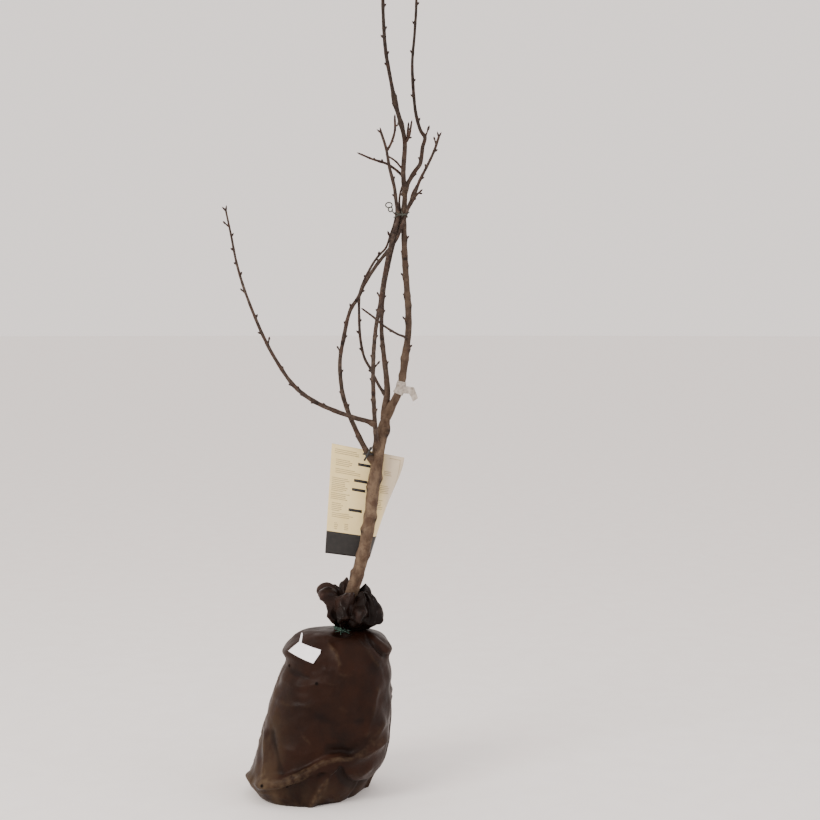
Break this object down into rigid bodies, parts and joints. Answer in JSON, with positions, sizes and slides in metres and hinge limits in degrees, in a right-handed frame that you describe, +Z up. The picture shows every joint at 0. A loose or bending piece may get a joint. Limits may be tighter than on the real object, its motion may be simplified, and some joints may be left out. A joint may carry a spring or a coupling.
{
  "type": "sapling with root ball",
  "caption": "Bare young tree with a leaning trunk and tied boughs, standing on a root ball wrapped in dark film gathered into a collar at the neck.",
  "frame": {"origin": "on the floor at the middle of the flat underside of the root ball", "axes": "+Z up along the tree, +X to the right of the front view, +Y away from the front view"},
  "size_m": [0.374, 0.2139, 1.62],
  "materials": {
    "bark": "matte grey-brown bark with reddish blotches",
    "twigs": "matte dark reddish-brown young bark",
    "bag_film": "semi-gloss creased brown film, dusty in places",
    "collar_film": "semi-gloss crumpled dark film",
    "twine": "green split-film twine",
    "tie_wire": "grey-green coated wire",
    "label_card": "satin cream card with a dark foot",
    "label_strap": "black satin strap",
    "tag_paper": "white coated paper",
    "label_sleeve": "cloudy clear film"
  },
  "bodies": {
    "root": {"root_ball": "bag_film", "bag_collar": "collar_film", "neck_twine": "twine", "trunk": "bark", "leader": "bark", "middle_bough": "bark", "thin_bough": "bark", "front_bough": "bark", "left_bough_foot": "bark", "left_bough_top": "bark", "outer_bough_foot": "bark", "outer_bough_top": "bark", "right_bough": "bark", "side_shoot": "bark", "left_twigs": "twigs", "inner_twig": "twigs", "front_twig": "twigs", "leader_twigs": "twigs", "right_twig_low": "twigs", "right_twig_high": "twigs", "crown_tie": "tie_wire", "care_label": "label_card", "label_tie": "label_strap", "bag_tag": "tag_paper", "stem_label": "label_sleeve"}
  },
  "joints": []
}
